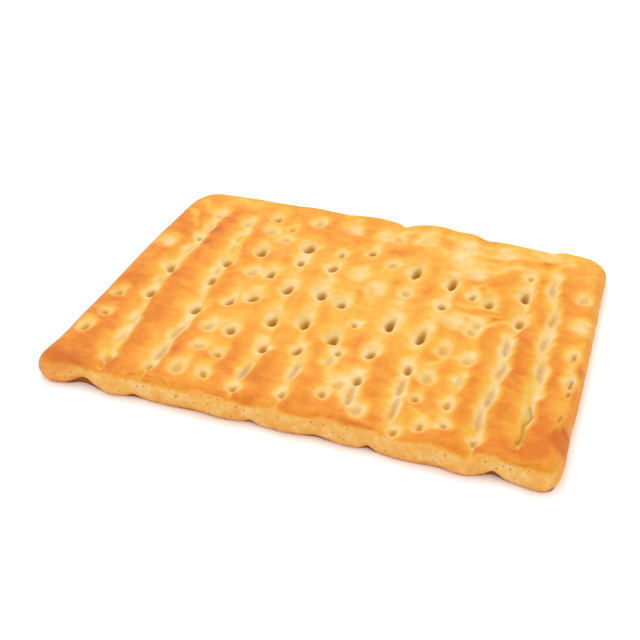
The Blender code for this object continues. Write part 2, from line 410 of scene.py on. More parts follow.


# Fine wrinkles where the skin of the dough was drawn together, and splits in the crust, which the finish
# darkens with painted shade.
WRINKLES = (
    Crease(0.9, 3.4, ((-191, 108), (-184, 98), (-177, 82))),
    Crease(0.8, 3.2, ((-187, 132), (-182, 122), (-178, 114))),
    Crease(0.6, 2.4, ((96, 60), (103, 69), (110, 60))),
    Crease(0.6, 2.6, ((174, 132), (164, 126), (157, 112))),
    Crease(0.7, 3.0, ((174, 141), (162, 133), (154, 128))),
    Crease(0.5, 2.4, ((98, 18), (114, 24), (124, 26))),
    Crease(0.5, 2.4, ((90, 32), (106, 36), (122, 33))),
    Crease(0.8, 2.6, ((112, -6), (120, 8), (131, 22))),
    Crease(0.8, 3.0, ((86, -62), (94, -52), (104, -44))),
    Crease(0.7, 2.8, ((86, -118), (98, -126), (108, -136))),
)
CRACKS = (
    Crease(0.3, 0.8, ((-129, -150), (-120, -148), (-111, -150), (-102, -148), (-94, -153))),
    Crease(0.2, 0.8, ((-114, -153), (-109, -154))),
    Crease(0.3, 0.8, ((-182, -147), (-172, -150), (-161, -152))),
    Crease(0.9, 1.3, ((170, -86), (171, -98), (169, -108), (170, -120), (168, -130))),
    Crease(1.2, 1.0, ((194, -45), (193, -54))), Crease(1.4, 1.1, ((194, -62), (194, -64))),
    Crease(1.0, 0.9, ((192, -93), (191, -101))), Crease(1.0, 0.9, ((192, -10), (192, -16))),
    Crease(0.3, 0.8, ((46, -151), (58, -149), (68, -151))),
    Crease(0.2, 0.8, ((162, -151), (176, -153), (186, -151))),
)

# Where the crust browned more, or less where the strength is negative.
BLUSHES = (
    Patch(-3, 15, 95, 70, -0.24), Patch(87, 98, 38, 26, -0.3), Patch(2, 150, 230, 18, -0.26),
    Patch(-160, 76, 12, 22, 0.2), Patch(-160, -12, 14, 26, 0.25), Patch(100, 113, 22, 12, -0.25),
    Patch(189, 113, 14, 18, -0.25), Patch(-60, -140, 36, 10, -0.2),
    Patch(-178, 10, 24, 130, 0.08), Patch(152, 140, 36, 18, -0.45), Patch(-146, 140, 28, 14, -0.4),
    Patch(52, -20, 22, 75, -0.16), Patch(47, 112, 30, 14, -0.14), Patch(22, 60, 24, 12, -0.12),
    Patch(20, 114, 36, 9, -0.12),
    Patch(-141, -60, 9, 75, 0.04), Patch(-181, -105, 12, 45, 0.1), Patch(-104, -60, 9, 70, 0.18),
    Patch(-60, -112, 9, 32, 0.08), Patch(-28, -112, 9, 36, 0.06), Patch(-86, -140, 14, 8, -0.12),
    Patch(56, -85, 8, 35, 0.14), Patch(62, -132, 12, 14, 0.1), Patch(94, -62, 8, 20, 0.1),
    Patch(125, -70, 7, 60, 0.1), Patch(152, -30, 11, 85, 0.24), Patch(180, -80, 9, 75, 0.18),
    Patch(116, 80, 17, 14, 0.16), Patch(24, 95, 10, 6, 0.2), Patch(-58, 106, 8, 8, 0.14),
    Patch(-148, 60, 10, 40, 0.06), Patch(-116, 60, 6, 45, 0.14), Patch(151, 122, 5, 6, 0.3),
    Patch(105, 111, 9, 4, 0.4), Patch(103, 130, 8, 5, 0.3), Patch(154, 90, 4, 14, 0.3),
    Patch(60, 38, 6, 12, 0.3), Patch(62, -2, 5, 12, 0.35), Patch(30, 48, 8, 5, 0.3),
    Patch(14, 96, 9, 6, 0.25), Patch(-16, 52, 5, 9, 0.2), Patch(-42, 30, 5, 14, 0.2),
    Patch(-74, 50, 8, 7, 0.25), Patch(102, 60, 6, 4, 0.25), Patch(117, 22, 9, 6, 0.15),
    Patch(97, 3, 5, 5, 0.2), Patch(-10, -25, 4, 12, 0.2), Patch(26, -60, 7, 14, 0.25),
    Patch(-36, -15, 4, 14, 0.2), Patch(-66, 5, 5, 16, 0.2), Patch(7, 22, 5, 6, 0.2),
    Patch(176, -142, 14, 5, 0.2), Patch(185, -130, 6, 12, 0.3), Patch(-148, -140, 5, 10, 0.25),
    Patch(167, -5, 12, 50, 0.08), Patch(-174, 62, 22, 26, 0.27), Patch(-186, -30, 9, 22, 0.2),
    Patch(-128, -112, 6, 30, -0.14), Patch(-190, 135, 12, 14, -0.1), Patch(186, -88, 6, 20, -0.12),
    Patch(-162, -98, 14, 30, 0.24), Patch(-100, -113, 24, 12, 0.22), Patch(-42, -12, 24, 22, -0.12),
    Patch(62, -38, 14, 16, -0.14), Patch(188, 62, 12, 14, -0.15), Patch(108, 98, 20, 20, -0.08),
)

# Where the heat went further: the front-left corner, the left rim, blisters and the front ridge line.
SCORCHES = (
    Patch(-191, -147, 20, 9, 0.85), Patch(-174, -146, 14, 5, 0.4), Patch(-201, -95, 3.0, 60, 0.45),
    Patch(197, -119, 8, 12, 2.2), Patch(-154, 58, 4, 6, 1.1), Patch(-155, 80, 6, 6, 0.9),
    Patch(-146, -118, 3, 12, 0.3), Patch(52, -149, 15, 3, 0.55), Patch(-201, 20, 2.0, 12, 0.6),
    Patch(174, -144, 16, 4, 0.3), Patch(-113, 118, 5, 5, 0.3),
)

# Where olive oil stayed in a hollow.
OIL_POOLS = (
    Patch(-127, 77, 4.2, 8, 1.5), Patch(-125, 58, 4.2, 9, 1.5), Patch(-122, 42, 4.0, 9),
    Patch(-88, 109, 5.0, 7),
    Patch(132, -125, 4.2, 6.5, 1.4), Patch(166, -72, 3.2, 12), Patch(167, -104, 3.0, 20, 0.9),
    Patch(-155, -130, 3.0, 9, 0.7), Patch(-127, 128, 5, 6, 0.5), Patch(26, -112, 6, 8, 0.5),
    Patch(-156, -118, 2.5, 12, 0.35), Patch(172, 141, 9, 2, 0.35), Patch(-131, 90, 4, 5, 0.4),
    Patch(-124, 14, 3.0, 10, 0.5), Patch(-108, 122, 4.5, 4.5, 0.6),
)


@dataclass(frozen=True)
class Bell:
    """A bell shape round a poke.

    Args:
        wider: what it adds to the half sizes of the poke's hole, in millimetres.
        behind: how far behind the poke's middle it lies, in millimetres.
        power: the power of the reach, which makes its edge steeper.
    """

    wider: float
    behind: float
    power: float


@dataclass
class CrustRelief:
    """What the baker's fingers and the oven do to the top of the sheet.

    Lengths are in millimetres. A slant is what the finger's angle makes of a hole's half size to the
    left and the right, or to the front and the back. The hole powers are the least one, what each
    millimetre of depth adds, and the most. Each pale furrow is its share, the power of the furrow's
    strength, and its half width to the left and the right.
    """

    rows: tuple[Row, ...] = ROWS
    creases: tuple[Crease, ...] = CREASES
    warp_seeds: tuple[int, int] = (31, 32)
    slant_across: Point = (1.15, 0.85)
    slant_along: Point = (0.8, 1.2)
    hole_share: float = 0.56
    hole_powers: tuple[float, float, float] = (1.1, 0.18, 2.8)
    bowl: Bell = Bell(4.6, 2.5, 1.5)
    inner_bowl: Bell = Bell(1.6, 1.6, 2.0)
    # The pit bell places the painted shade in the holes, a little behind their middles.
    pit: Bell = Bell(0.5, 1.5, 1.3)
    pit_edge: Fade = Fade(0.06, 0.9)
    thin_floor: Bell = Bell(-0.2, 0.0, 1.6)
    halo_behind: float = 4.0
    halo_power: float = 1.25
    halo_pale: float = 0.9
    crease_pale: float = 0.5
    full_furrow: float = 3.2
    pale_furrows: tuple[tuple[float, float, float, float], ...] = (
        (0.6, 1.0, 7.0, 4.4), (0.32, 0.5, 17.0, 5.5),
    )
    lip_wider: float = 2.4
    lip_behind: float = 1.2
    lip_at: float = 1.2
    lip_width: float = 0.32
    lip_fade: Fade = Fade(9.8, -14.0)
    back_lip: float = 0.35
    lip_height: float = 0.35
    lip_cut: float = 1.3
    furrow_gain: float = 1.2
    furrow_right: float = 0.6
    furrow_tip: float = 0.3
    taper: float = 28.0
    front_fade: float = 4.0
    back_fade: float = 10.0
    blend_power: float = 2.5
    crack_shade: Point = (0.3, 0.5)
    wave_count: int = 14
    wave_height: float = 0.45
    wave_length: float = 150.0
    wave_shortest: float = 0.25
    wave_seed: int = 7

    def warped(self, x: np.ndarray, y: np.ndarray, push: float = 2.2,
               size: float = 14.0) -> tuple[np.ndarray, np.ndarray]:
        """Pushes the places about by smooth noise, so that no hole is a clean oval.

        Args:
            x: the places along the sheet, in millimetres.
            y: the places across the sheet, in millimetres.
            push: how far they go at most, in millimetres.
            size: how wide the noise is, in millimetres.

        Returns:
            The pushed x and y.
        """
        flat = on_plane(x, y)
        push_x, push_y = (
            DoughNoise(seed, size, 2, push).over(flat).reshape(x.shape) for seed in self.warp_seeds)
        return x + push_x, y + push_y

    def reach(self, x: np.ndarray, y: np.ndarray, poke: PlacedPoke, wider: float = 0.0,
              behind: float = 0.0) -> np.ndarray:
        """The squared distance from a poke's middle, in half sizes of its hole.

        The finger came in at a slant, so the hole is shorter towards the front and the right.

        Args:
            x: the places along the sheet, in millimetres.
            y: the places across the sheet, in millimetres.
            poke: the poke as x, y and kind.
            wider: what is added to both half sizes, in millimetres.
            behind: how far behind the poke's middle this lies, in millimetres.

        Returns:
            0 at the middle and 1 at the edge.
        """
        at_x, at_y, kind = poke
        across, along = x - at_x, y - at_y - behind
        left, right = self.slant_across
        front, back = self.slant_along
        wide = (kind.value.half_width + wider) * np.where(across > 0, right, left)
        long = (kind.value.half_length + wider) * np.where(along > 0, back, front)
        return (across / wide) ** 2 + (along / long) ** 2

    def bell(self, x: np.ndarray, y: np.ndarray, poke: PlacedPoke, shape: Bell) -> np.ndarray:
        """A bell round a poke: e to the minus a power of the reach."""
        return np.exp(-(self.reach(x, y, poke, shape.wider, shape.behind) ** shape.power))

    def poke_depth(self, x: np.ndarray, y: np.ndarray, poke: PlacedPoke) -> np.ndarray:
        """A hole with steeper walls the deeper it is, at the front of a wide bell-shaped bowl.

        Args:
            x: the places along the sheet, in millimetres.
            y: the places across the sheet, in millimetres.
            poke: the poke as x, y and kind.

        Returns:
            The depth in millimetres.
        """
        depth = poke[2].value.depth
        least, gain, most = self.hole_powers
        hole = self.bell(x, y, poke, Bell(0.0, 0.0, min(least + gain * depth, most)))
        return depth * (self.hole_share * hole + (1.0 - self.hole_share) * self.bell(x, y, poke, self.bowl))

    def furrow(self, x: np.ndarray, y: np.ndarray, row: Row, left: float, right: float) -> np.ndarray:
        """How far into a row's furrow (x, y) is: 1 on the line that winds from poke to poke, 0 outside.

        Across, it falls off gently to the left and steeply to the right. Along, it narrows to a point
        at the front and fades at the back.

        Args:
            x: the places along the sheet, in millimetres.
            y: the places across the sheet, in millimetres.
            row: the row of pokes.
            left: the half width to the left, in millimetres.
            right: the half width to the right, in millimetres.

        Returns:
            A value from 0 to 1.
        """
        front, back = row.reach
        line = sorted((at_y, at_x) for at_x, at_y, _ in row.pokes)
        offset = x - np.interp(y, [at_y for at_y, _ in line], [at_x for _, at_x in line])
        narrow = self.furrow_tip + (1.0 - self.furrow_tip) * ease((y - front) / self.taper)
        gentle = np.exp(-((offset / (left * narrow)) ** 2))
        steep = np.exp(-((offset / (right * narrow)) ** 4))
        along = ease((y - front) / self.front_fade + 1.0) * ease((back - y) / self.back_fade + 1.0)
        return np.where(offset > 0, steep, gentle) * along

    def crease(self, x: np.ndarray, y: np.ndarray, crease: Crease) -> np.ndarray:
        """How far into a crease (x, y) is: a bell curve of the distance to the line through its points.

        Args:
            x: the places along the sheet, in millimetres.
            y: the places across the sheet, in millimetres.
            crease: the crease.

        Returns:
            1 on the line, 0 well away from it.
        """
        nearest = np.full(x.shape, np.inf)
        for (x0, y0), (x1, y1) in zip(crease.points, crease.points[1:]):
            run_x, run_y = x1 - x0, y1 - y0
            share = ((x - x0) * run_x + (y - y0) * run_y) / (run_x**2 + run_y**2)
            share = np.clip(share, 0.0, 1.0)
            nearest = np.minimum(nearest, np.hypot(x - x0 - share * run_x, y - y0 - share * run_y))
        return np.exp(-((nearest / crease.half_width) ** 2))

    def depth(self, x: np.ndarray, y: np.ndarray) -> np.ndarray:
        """How far everything presses the crust in, blended by a power mean where dents meet.

        Args:
            x: the places along the sheet, in millimetres.
            y: the places across the sheet, in millimetres.

        Returns:
            The depth in millimetres, less the lips round the bowls.
        """
        total = np.zeros(x.shape)
        for row in self.rows:
            depth, half_width = row.furrow
            furrow = self.furrow(x, y, row, half_width, self.furrow_right * half_width)
            total += (self.furrow_gain * depth * furrow) ** self.blend_power
            for poke in row.pokes:
                total += self.poke_depth(x, y, poke) ** self.blend_power
        for crease in self.creases:
            total += (crease.depth * self.crease(x, y, crease)) ** self.blend_power
        fine = sum(line.depth * self.crease(x, y, line) for line in WRINKLES + CRACKS)
        return total ** (1.0 / self.blend_power) + fine - self.lip_height * self.rings(x, y)

    def waves(self, x: np.ndarray, y: np.ndarray) -> np.ndarray:
        """The slow rise and fall of the crust, a sum of plane waves with seeded directions.

        Args:
            x: the places along the sheet, in millimetres.
            y: the places across the sheet, in millimetres.

        Returns:
            The height in millimetres, above or below 0.
        """
        draw = np.random.default_rng(self.wave_seed)
        height = np.zeros(x.shape)
        for _ in range(self.wave_count):
            turn, phase = draw.uniform(0.0, 2.0 * np.pi, 2)
            pace = 2.0 * np.pi / (self.wave_length * draw.uniform(self.wave_shortest, 1.0))
            height += np.sin(pace * (x * np.cos(turn) + y * np.sin(turn)) + phase)
        return self.wave_height * height

    def paleness(self, x: np.ndarray, y: np.ndarray) -> np.ndarray:
        """How much the dents kept the dough from browning.

        Each dent lets through a share of the browning, and the shares are multiplied.

        Args:
            x: the places along the sheet, in millimetres.
            y: the places across the sheet, in millimetres.

        Returns:
            1 in a poke's ring, 0 on a ridge.
        """
        browned = np.ones(x.shape)
        for row in self.rows:
            strength = np.clip(row.furrow[0] / self.full_furrow, 0.0, 1.0)
            for share, power, left, right in self.pale_furrows:
                browned *= 1.0 - share * strength**power * self.furrow(x, y, row, left, right)
            for poke in row.pokes:
                halo = Bell(poke[2].value.halo, self.halo_behind, self.halo_power)
                browned *= 1.0 - self.halo_pale * self.bell(x, y, poke, halo)
        for crease in self.creases + WRINKLES:
            browned *= 1.0 - self.crease_pale * self.crease(x, y, crease)
        return 1.0 - browned

    def most(self, x: np.ndarray, of_poke: Callable[[PlacedPoke], np.ndarray]) -> np.ndarray:
        """The highest value that any poke gives each place.

        Args:
            x: the places along the sheet, in millimetres.
            of_poke: works out the values for one poke.

        Returns:
            0 where no poke reaches.
        """
        highest = np.zeros(x.shape)
        for row in self.rows:
            for poke in row.pokes:
                highest = np.maximum(highest, of_poke(poke))
        return highest

    def stretched(self, x: np.ndarray, y: np.ndarray) -> np.ndarray:
        """Where the floor of a poke is thin, grey, stretched dough."""
        return self.most(x, lambda poke: poke[2].value.stretched * self.bell(x, y, poke, self.thin_floor))

    def bowls(self, x: np.ndarray, y: np.ndarray) -> np.ndarray:
        """The inside of each bowl, which is a little darker than the bright ring round it."""
        return self.most(x, lambda poke: poke[2].value.ring * self.bell(x, y, poke, self.inner_bowl))

    def pits_and_shade(self, x: np.ndarray, y: np.ndarray) -> np.ndarray:
        """The moist inside of each hole, darkened with painted shade, from where its wall drops to its
        bottom.
        """
        return self.most(x, lambda poke: poke[2].value.pit
                         * self.pit_edge.over(self.bell(x, y, poke, self.pit)))

    def lip(self, x: np.ndarray, y: np.ndarray, poke: PlacedPoke) -> np.ndarray:
        """The rolled lip of one bowl: a bell curve across the bowl's edge, strongest at the front.

        Args:
            x: the places along the sheet, in millimetres.
            y: the places across the sheet, in millimetres.
            poke: the poke as x, y and kind.

        Returns:
            A value from 0 to 1.
        """
        out = np.sqrt(self.reach(x, y, poke, self.lip_wider, self.lip_behind))
        across = np.exp(-(((out - self.lip_at) / self.lip_width) ** 2))
        along = self.back_lip + (1.0 - self.back_lip) * self.lip_fade.over(y - poke[1])
        return poke[2].value.ring * across * along

    def rings(self, x: np.ndarray, y: np.ndarray) -> np.ndarray:
        """The lips round all bowls, cut away inside the bowls: they are raised, and the finish paints a
        highlight on them.
        """
        lips = self.most(x, lambda poke: self.lip(x, y, poke))
        return lips * (1.0 - np.clip(self.lip_cut * self.bowls(x, y), 0.0, 1.0))

    def painted_crack_shade(self, x: np.ndarray, y: np.ndarray) -> np.ndarray:
        """Painted shade in the splits of the crust: the deeper the crack, the darker.

        Args:
            x: the places along the sheet, in millimetres.
            y: the places across the sheet, in millimetres.

        Returns:
            How dark each place is, from 0 to 1.
        """
        least, gain = self.crack_shade
        shades = [min(least + gain * crack.depth, 1.0) * self.crease(x, y, crack) for crack in CRACKS]
        return np.clip(sum(shades), 0.0, 1.0)


class Mark(Enum):
    """What the finish reads at each point of the sheet, from 0 to 1, with its attribute's name."""

    # The ring mark is a painted highlight on the lips round the bowls, the pit mark is moist dough darkened
    # with painted shade, the crack mark is painted shade in the splits of the crust, and the scorch and crack
    # marks also carry painted shade inside the arches under the front edge.
    BROWNING = "browning"
    SCORCH = "scorch"
    STRETCHED = "stretched"
    RING = "ring"
    CRACK = "crack"
    BOWL = "bowl"
    PIT = "pit"
    OIL = "oil"
    BARE = "bare"


@dataclass(frozen=True)
class OvenMarks:
    """How the fingers, the oven, the tray and the oil left each point of the sheet.

    Lengths are in millimetres. Places down the side go from 0 at the crust to 1 at the base, and the
    underside is further down. Every other number is a share of a mark. The side is paler at the front
    and browner elsewhere.
    """

    underside: float = 1.2
    even_brown: float = 0.81
    heat: tuple[DoughNoise, ...] = (DoughNoise(21, 50.0, 3, 0.14), DoughNoise(23, 17.0, 2, 0.1))
    torn_skin: DoughNoise = DoughNoise(22, 9.0)
    flecks: DoughNoise = DoughNoise(24, 6.0, 2)
    oiling: DoughNoise = DoughNoise(25, 11.0)
    fray_push: float = 2.4
    fray_size: float = 8.0
    dent_pale: float = 0.94
    dent_flecks: float = 0.12
    film: float = 1.6
    film_even: float = 0.4
    film_patchy: float = 1.6
    pool_power: float = 1.4
    scorch_power: float = 1.6
    off_crust: Fade = Fade(0.0, 0.125)
    front: Fade = Fade(-120.0, -20.0)
    right_end: Fade = Fade(192.0, 9.0)
    right_share: float = 0.8
    left_end: Fade = Fade(-150.0, -40.0)
    bare_rim: float = 1.15
    bare_run: float = 2.2
    bare_run_elsewhere: float = 5.0
    bare_elsewhere: float = 0.35
    side_brown: float = 0.34
    side_elsewhere: float = 0.26
    side_base: float = 0.6
    side_base_power: int = 5
    side_torn: float = 0.4
    side_left: float = 0.3
    seam_at: float = 0.3
    seam_width: float = 0.22
    seam_even: float = 0.6
    seam_torn: float = 0.8
    seam_brown: float = 0.25
    scorch_even: float = 0.8
    scorch_torn: float = 0.4
    scorch_side: float = 0.6
    base_edge: Fade = Fade(0.9, 0.1)
    base_scorch: float = 0.4
    arch_mouth: Fade = Fade(0.88, 0.12)
    arch_height: float = 2.5
    arch_depth: float = 6.0
    floor_even: float = 0.7
    floor_flecks: float = 1.1
    under_brown: float = 0.8
    under_scorch: float = 0.4
    under_bare: float = 0.3

    def bare(self, rim_share: np.ndarray, down: np.ndarray, front: np.ndarray,
             torn: np.ndarray) -> np.ndarray:
        """Where the skin is the side's, which climbs over the rim in a ragged line.

        Args:
            rim_share: how far in from the rim each point of the crust lies, from 0 to 1.
            down: how far down the side each point is.
            front: how much each point belongs to the pale front.
            torn: the noise of the torn skin.

        Returns:
            1 on the front's side, 0 on the crust.
        """
        run = self.bare_run + self.bare_run_elsewhere * (1.0 - front)
        over_rim = ease(self.bare_rim - rim_share * run + torn)
        over_rim *= self.bare_elsewhere + (1.0 - self.bare_elsewhere) * front
        return np.where(down > 0.0, np.maximum(over_rim, front), over_rim)

    def side(self, x: np.ndarray, down: np.ndarray, front: np.ndarray, torn: np.ndarray) -> np.ndarray:
        """How brown the side is: browner at the base, at the left end and wherever isn't the front.

        Args:
            x: the places along the sheet, in millimetres.
            down: how far down the side each point is.
            front: how much each point belongs to the pale front.
            torn: the noise of the torn skin.

        Returns:
            The browning of each point.
        """
        even = self.side_brown + self.side_elsewhere * (1.0 - front)
        at_base = self.side_base * down**self.side_base_power
        return even + at_base + self.side_torn * torn + self.side_left * self.left_end.over(x)

    def painted_arch_shade(self, x: np.ndarray, y: np.ndarray, down: np.ndarray, outline: SheetOutline) -> np.ndarray:
        """Painted shade: dark colour inside the arches under the front edge, where the shadow falls.

        Args:
            x: the places along the sheet, in millimetres.
            y: the places across the sheet, in millimetres.
            down: how far down the side each point is.
            outline: the sheet's plan, which has the arches.

        Returns:
            1 inside a high arch, 0 where the base is flat.
        """
        lift = np.clip(bells(x, outline.arches), 0.0, self.arch_height) / self.arch_height
        from_front = (y + outline.width / 2) / self.arch_depth
        return self.arch_mouth.over(down) * lift * np.exp(-(from_front**2))

    def read(self, places: np.ndarray, rim_share: np.ndarray, down: np.ndarray, outline: SheetOutline,
             relief: CrustRelief) -> dict[Mark, np.ndarray]:
        """Works out every mark at every point.

        Args:
            places: rows of x, y and z in millimetres.
            rim_share: how far in from the rim each point of the crust lies, from 0 to 1.
            down: how far down the side each point is.
            outline: the sheet's plan.
            relief: the crust's dents.

        Returns:
            The values of each mark.
        """
        x, y = places[:, 0], places[:, 1]
        flat = on_plane(x, y)
        torn, fleck = self.torn_skin.over(places), self.flecks.over(flat)
        warped = relief.warped(x, y)
        ragged = relief.warped(*warped, self.fray_push, self.fray_size)
        on_top = 1.0 - self.off_crust.over(down)
        below = down >= self.underside
        front = self.front.over(y) * (1.0 - self.right_share * self.right_end.over(x))
        bare = self.bare(rim_share, down, front, torn)
        # Painted shade inside the arches under the front edge.
        painted_arch_shade = self.painted_arch_shade(x, y, down, outline)

        pale = relief.paleness(*ragged)
        crust = self.even_brown + sum(noise.over(flat) for noise in self.heat)
        crust += sum(patch.cover(x, y) for patch in BLUSHES)
        crust *= 1.0 - (self.dent_pale + self.dent_flecks * fleck) * pale
        seam = np.exp(-(((bare - self.seam_at) / self.seam_width) ** 2)) * front
        seam *= self.seam_even + self.seam_torn * torn
        browning = crust + (self.side(x, down, front, torn) - crust) * bare + self.seam_brown * seam

        scorch = np.clip(sum(patch.cover(x, y, self.scorch_power) for patch in SCORCHES), 0.0, 1.0)
        scorch *= (self.scorch_even + self.scorch_torn * torn) * (1.0 - self.scorch_side * down)
        scorch += self.base_scorch * self.base_edge.over(down)

        film = self.film * pale * (1.0 - pale)
        film *= ease(self.film_even + self.film_patchy * self.oiling.over(flat))
        pools = sum(pool.cover(*ragged, self.pool_power) for pool in OIL_POOLS)
        thin = self.floor_even + self.floor_flecks * fleck
        return {
            Mark.BROWNING: np.where(below, self.under_brown, browning),
            # The scorch and crack marks also carry the painted shade inside the arches.
            Mark.SCORCH: np.where(below, self.under_scorch, scorch) + painted_arch_shade,
            Mark.STRETCHED: relief.stretched(*ragged) * on_top * thin,
            # Painted highlight on the lips round the bowls, strongest at the front.
            Mark.RING: relief.rings(*warped) * on_top,
            Mark.CRACK: relief.painted_crack_shade(*warped) * on_top + painted_arch_shade,
            Mark.BOWL: relief.bowls(*warped) * on_top,
            # Moist dough in the holes, darkened with painted shade.
            Mark.PIT: relief.pits_and_shade(*warped) * on_top,
            Mark.OIL: (pools + film) * on_top,
            Mark.BARE: np.where(below, self.under_bare, bare),
        }


class FaceSet:
    """Collects the faces of a closed surface that starts as a grid and goes on ring by ring."""

    def __init__(self, index: np.ndarray) -> None:
        """Joins the grid into quads that face up, and starts the rings at its rim, anticlockwise.

        Args:
            index: the number of each point of the grid.
        """
        a, b = index[:-1, :-1], index[1:, :-1]
        c, d = index[1:, 1:], index[:-1, 1:]
        self.faces = np.stack([a, b, c, d], axis=-1).reshape(-1, 4).tolist()
        self.ring = np.concatenate([index[:-1, 0], index[-1, :-1], index[:0:-1, -1], index[0, :0:-1]])
        self.count = index.size

    def band(self, halved: bool = False) -> None:
        """Joins the last ring to a new one by quads, or by triangles where the new one is halved.

        Args:
            halved: whether the new ring has half as many points, and so three triangles for each.
        """
        outer = self.ring
        inner = self.count + np.arange(len(outer) // 2 if halved else len(outer))
        beside = np.roll(inner, -1)
        bands = [(outer, inner, beside, np.roll(outer, -1))]
        if halved:
            even, odd, after = outer[0::2], outer[1::2], np.roll(outer[0::2], -1)
            bands = [(even, inner, odd), (odd, inner, beside), (odd, beside, after)]
        for corners in bands:
            self.faces += np.stack(corners, axis=-1).tolist()
        self.ring, self.count = inner, self.count + len(inner)

    def lid(self) -> None:
        """Closes the last ring by one flat face that faces down."""
        self.faces.append(self.ring[::-1].tolist())


@dataclass
class FocacciaSheet:
    """The whole bread: crust, side and underside as one closed surface.

    Args:
        outline: its plan and its flat sizes.
        relief: the dents and waves of its crust.
        marks: how it was baked.
        cells: how many cells the crust's grid has along the length and the width.
        side_rows: how many rows of cells run round the side.
        base_insets: how far in from the rim each ring of the underside lies, in millimetres.
        halved_rings: the rings of the underside with half as many points as the one before.
        rim_relief: the share of the crust's relief that is left at the rim.
        crust_bumps: the fine unevenness of the crust.
        side_lumps: the lumps of the side.
        lump_squeeze: how much lower than wide the lumps are.
        smooth_end: the x where the side gets smoother towards the right end.
        smooth_share: how much of the lumps it loses there.
    """

    outline: SheetOutline = field(default_factory=SheetOutline)
    relief: CrustRelief = field(default_factory=CrustRelief)
    marks: OvenMarks = OvenMarks()
    cells: tuple[int, int] = (330, 250)
    side_rows: int = 9
    base_insets: tuple[float, ...] = (0.9, 1.9, 3.4, 7.0, 14.0, 24.0, 45.0)
    halved_rings: tuple[int, ...] = (3, 4, 5)
    rim_relief: float = 0.25
    crust_bumps: tuple[DoughNoise, ...] = (DoughNoise(3, 14.0, 3, 0.4), DoughNoise(4, 4.5, 2, 0.22))
    side_lumps: tuple[DoughNoise, ...] = (DoughNoise(11, 19.0, 3, 2.2), DoughNoise(12, 6.0, 2, 1.2))
    lump_squeeze: float = 1.6
    smooth_end: Fade = Fade(150.0, 45.0)
    smooth_share: float = 0.6

    def crust_height(self, u: np.ndarray, v: np.ndarray, x: np.ndarray, y: np.ndarray) -> np.ndarray:
        """The crust's height: the thickness, less the rolled shoulder and the dents, plus waves and puffs.

        Args:
            u: the place along the length, from -1 to 1.
            v: the place along the width, from -1 to 1.
            x: the same place along the length, in millimetres.
            y: the same place along the width, in millimetres.

        Returns:
            The height in millimetres.
        """
        inward = self.outline.inward(u, v)
        shoulder = self.outline.shoulder_drop * (1.0 - inward) ** 2
        bumps = sum(noise.over(on_plane(x, y)) for noise in self.crust_bumps).reshape(x.shape)
        relief = self.relief.waves(x, y) - self.relief.depth(*self.relief.warped(x, y)) + bumps
        fade = self.rim_relief + (1.0 - self.rim_relief) * inward
        return self.outline.thickness - shoulder + self.outline.puff(u, v, x, y) + fade * relief

    def side_points(self, u: np.ndarray, v: np.ndarray, down: float) -> np.ndarray:
        """One ring of the side. It bulges by a sine of the way down and tucks in at the base.

        Args:
            u: the closed ring's places on the square's edge, along the length, anticlockwise.
            v: the same, along the width.
            down: how far down the side the ring is, from 0 at the crust to 1 at the base.

        Returns:
            Rows of x, y and z in millimetres.
        """
        form = self.outline
        x, y = form.plan(u, v)
        crust, base = self.crust_height(u, v, x, y), form.base(x, y)
        to_x, to_y = np.roll(y, -1) - np.roll(y, 1), np.roll(x, 1) - np.roll(x, -1)
        spread = np.hypot(to_x, to_y)
        z = base + (crust - base) * (1.0 - down)
        squeezed = np.stack([x, y, z * self.lump_squeeze], axis=-1)
        lumps = sum(noise.over(squeezed) for noise in self.side_lumps) * np.sin(np.pi * down) ** 0.5
        outward = form.side_bulge * np.sin(np.pi * down**form.bulge_power)
        outward -= form.base_tuck * down**form.tuck_power + form.base_round * down**form.round_power
        outward = outward + lumps * (1.0 - self.smooth_share * self.smooth_end.over(x))
        return np.stack([x + outward * to_x / spread, y + outward * to_y / spread, z], axis=-1)

    def base_points(self, u: np.ndarray, v: np.ndarray, inset: float) -> np.ndarray:
        """One ring of the underside, at the base's height.

        Args:
            u: the closed ring's places on the square's edge, along the length, anticlockwise.
            v: the same, along the width.
            inset: how far in from the rim the ring lies, in millimetres.

        Returns:
            Rows of x, y and z in millimetres.
        """
        in_u = u * (1.0 - 2.0 * inset / self.outline.length)
        in_v = v * (1.0 - 2.0 * inset / self.outline.width)
        x, y = self.outline.plan(in_u, in_v)
        return np.stack([x, y, self.outline.base(x, y)], axis=-1)

    def build(self) -> bpy.types.Object:
        """Works out every point, face and mark and makes the mesh, centred in plan.

        Returns:
            The finished sheet.
        """
        across, along = self.cells
        u, v = np.meshgrid(np.linspace(-1, 1, across + 1), np.linspace(-1, 1, along + 1), indexing="ij")
        x, y = self.outline.plan(u, v)
        points = [np.stack([x, y, self.crust_height(u, v, x, y)], axis=-1).reshape(-1, 3)]
        downs = [np.zeros(u.size)]
        surface = FaceSet(np.arange(u.size).reshape(u.shape))
        ring_u, ring_v = u.ravel()[surface.ring], v.ravel()[surface.ring]
        for row in range(1, self.side_rows + 1):
            down = row / self.side_rows
            points.append(self.side_points(ring_u, ring_v, down))
            downs.append(np.full(len(ring_u), down))
            surface.band()
        for number, inset in enumerate(self.base_insets):
            halved = number in self.halved_rings
            if halved:
                ring_u, ring_v = ring_u[0::2], ring_v[0::2]
            points.append(self.base_points(ring_u, ring_v, inset))
            downs.append(np.full(len(ring_u), self.marks.underside))
            surface.band(halved)
        surface.lid()

